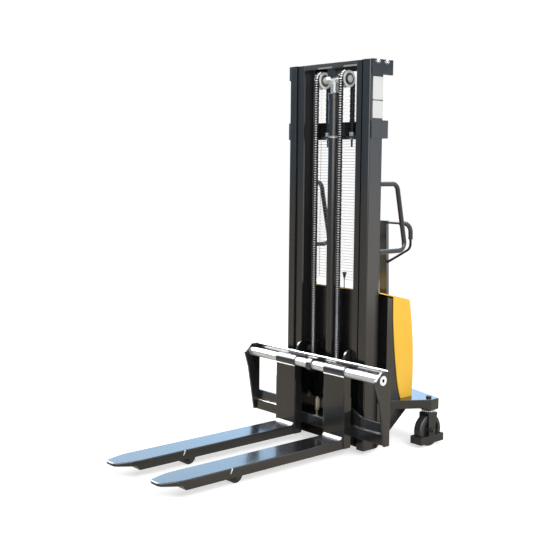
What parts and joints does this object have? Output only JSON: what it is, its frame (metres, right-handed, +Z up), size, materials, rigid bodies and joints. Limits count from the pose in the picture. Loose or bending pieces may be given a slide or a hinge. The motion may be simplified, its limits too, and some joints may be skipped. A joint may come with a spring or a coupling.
{
  "type": "semi-electric stacker",
  "caption": "Walk-behind stacker with a two-stage chain-lift mast, forks on a cross shaft over straddle legs, a battery power pack, swivel casters and a tiller.",
  "frame": {"origin": "on the floor, under the middle of the truck's length and width", "axes": "+X across the truck, +Y from the fork tips back to the tiller, +Z up"},
  "size_m": [1.031, 1.805, 2.078],
  "materials": {
    "mast_black": "satin enamel",
    "cover_yellow": "semi-gloss moulded",
    "bright_chrome": "polished",
    "bare_steel": "machined",
    "chain_steel": "oiled",
    "guard_wire": "galvanised",
    "wheel_black": "moulded nylon",
    "grip_rubber": "matte",
    "knob_black": "moulded",
    "stop_red": "moulded",
    "tank_white": "blow-moulded",
    "motor_grey": "enamel",
    "block_alloy": "machined",
    "valve_brass": "turned"
  },
  "bodies": {
    "chassis": {"left_post": "mast_black", "right_post": "mast_black", "mast_crossmembers": "mast_black", "crossmember_cheeks": "mast_black", "base_beam": "mast_black", "left_leg": "mast_black", "right_leg": "mast_black", "platform": "mast_black", "chassis_gussets": "mast_black", "left_handle": "mast_black", "right_handle": "mast_black", "mesh_guard": "guard_wire", "rear_panel": "mast_black", "unit_frame": "mast_black", "rear_cover": "cover_yellow", "battery": "knob_black", "oil_tank": "tank_white", "pump_motor": "motor_grey", "valve_block": "block_alloy", "lift_cylinder": "mast_black", "cylinder_gland": "mast_black", "flow_valve": "valve_brass", "rear_chains": "chain_steel", "chain_anchors": "chain_steel", "tiller_bracket": "mast_black"},
    "inner_mast": {"left_inner_post": "mast_black", "right_inner_post": "mast_black", "inner_crossbars": "mast_black", "piston_rod": "bright_chrome", "crosshead": "bare_steel", "head_bracket": "mast_black", "chain_wraps": "chain_steel", "front_chains": "chain_steel"},
    "carriage": {"carriage_end_plates": "mast_black", "carriage_upper_bar": "mast_black", "carriage_lower_plate": "mast_black", "carriage_uprights": "mast_black", "fork_shaft": "bright_chrome", "shaft_support": "mast_black", "chain_lugs": "mast_black"},
    "left_fork_body": {"left_fork": "mast_black"},
    "right_fork_body": {"right_fork": "mast_black"},
    "sheaves": {"chain_sheaves": "bare_steel"},
    "mast_rollers": {"mast_guide_rollers": "bare_steel"},
    "inner_rollers": {"inner_guide_rollers": "bare_steel"},
    "upper_rollers": {"upper_carriage_rollers": "bare_steel"},
    "lower_rollers": {"lower_carriage_rollers": "bare_steel"},
    "left_caster": {"left_caster_fork": "mast_black"},
    "right_caster": {"right_caster_fork": "mast_black"},
    "left_wheel": {"left_caster_wheel": "wheel_black"},
    "right_wheel": {"right_caster_wheel": "wheel_black"},
    "left_roller": {"left_load_roller": "wheel_black"},
    "right_roller": {"right_load_roller": "wheel_black"},
    "tiller_body": {"tiller": "mast_black", "tiller_grips": "grip_rubber"},
    "lever": {"control_lever": "bare_steel", "lever_knob": "knob_black"},
    "stop_button": {"emergency_stop": "stop_red"},
    "key": {"start_key": "bare_steel"}
  },
  "joints": [
    {"name": "mast_slide", "type": "slide", "parent": "chassis", "child": "inner_mast", "axis": [0, 0, 1], "range_m": [0, 1.455], "deforming": ["rear_chains"]},
    {"name": "carriage_slide", "type": "slide", "parent": "inner_mast", "child": "carriage", "axis": [0, 0, 1], "range_m": [0, 1.455], "deforming": ["front_chains"]},
    {"name": "left_fork_slide", "type": "slide", "parent": "carriage", "child": "left_fork_body", "axis": [1, 0, 0], "range_m": [-0.012, 0.012]},
    {"name": "right_fork_slide", "type": "slide", "parent": "carriage", "child": "right_fork_body", "axis": [1, 0, 0], "range_m": [-0.012, 0.012]},
    {"name": "sheave_spin", "type": "hinge", "parent": "inner_mast", "child": "sheaves", "pos_m": [0, 0.4105, 1.99], "axis": [1, 0, 0], "continuous": true},
    {"name": "mast_roller_spin", "type": "hinge", "parent": "chassis", "child": "mast_rollers", "pos_m": [0, 0.4145, 2.01], "axis": [1, 0, 0], "continuous": true},
    {"name": "inner_roller_spin", "type": "hinge", "parent": "inner_mast", "child": "inner_rollers", "pos_m": [0, 0.4145, 0.1455], "axis": [1, 0, 0], "continuous": true},
    {"name": "upper_roller_spin", "type": "hinge", "parent": "carriage", "child": "upper_rollers", "pos_m": [0, 0.4145, 0.505], "axis": [1, 0, 0], "continuous": true},
    {"name": "lower_roller_spin", "type": "hinge", "parent": "carriage", "child": "lower_rollers", "pos_m": [0, 0.4145, 0.24], "axis": [1, 0, 0], "continuous": true},
    {"name": "left_caster_swivel", "type": "hinge", "parent": "chassis", "child": "left_caster", "pos_m": [-0.39, 0.7875, 0.2], "axis": [0, 0, 1], "continuous": true},
    {"name": "left_wheel_spin", "type": "hinge", "parent": "left_caster", "child": "left_wheel", "pos_m": [-0.39, 0.7815, 0.088], "axis": [1, 0, 0], "continuous": true},
    {"name": "left_load_roller_spin", "type": "hinge", "parent": "chassis", "child": "left_roller", "pos_m": [-0.189, -0.4435, 0.04], "axis": [1, 0, 0], "continuous": true},
    {"name": "right_caster_swivel", "type": "hinge", "parent": "chassis", "child": "right_caster", "pos_m": [0.39, 0.7875, 0.2], "axis": [0, 0, 1], "continuous": true},
    {"name": "right_wheel_spin", "type": "hinge", "parent": "right_caster", "child": "right_wheel", "pos_m": [0.39, 0.7815, 0.088], "axis": [1, 0, 0], "continuous": true},
    {"name": "right_load_roller_spin", "type": "hinge", "parent": "chassis", "child": "right_roller", "pos_m": [0.189, -0.4435, 0.04], "axis": [1, 0, 0], "continuous": true},
    {"name": "tiller_tilt", "type": "hinge", "parent": "chassis", "child": "tiller_body", "pos_m": [0, 0.8585, 0.3], "axis": [-1, 0, 0], "range_deg": [0, 70]},
    {"name": "lever_tilt", "type": "hinge", "parent": "chassis", "child": "lever", "pos_m": [0, 0.5105, 0.8], "axis": [1, 0, 0], "range_deg": [-10, 10], "stiffness_Nm_per_rad": 1},
    {"name": "stop_press", "type": "slide", "parent": "chassis", "child": "stop_button", "axis": [0, -0.2264, -0.974], "range_m": [0, 0.005], "stiffness_N_per_m": 600, "springref_m": -0.002},
    {"name": "key_turn", "type": "hinge", "parent": "chassis", "child": "key", "pos_m": [0.04, 0.6125, 0.83111], "axis": [0, 0.2264, 0.974], "range_deg": [0, 90]}
  ],
  "couplings": [
    {"joint": "carriage_slide", "follows": "mast_slide", "ratio": 1},
    {"joint": "sheave_spin", "follows": "mast_slide", "rad_per_m": -22.222},
    {"joint": "mast_roller_spin", "follows": "mast_slide", "rad_per_m": 31.546},
    {"joint": "inner_roller_spin", "follows": "mast_slide", "rad_per_m": -23.981},
    {"joint": "upper_roller_spin", "follows": "mast_slide", "rad_per_m": 31.546},
    {"joint": "lower_roller_spin", "follows": "mast_slide", "rad_per_m": -31.546}
  ]
}
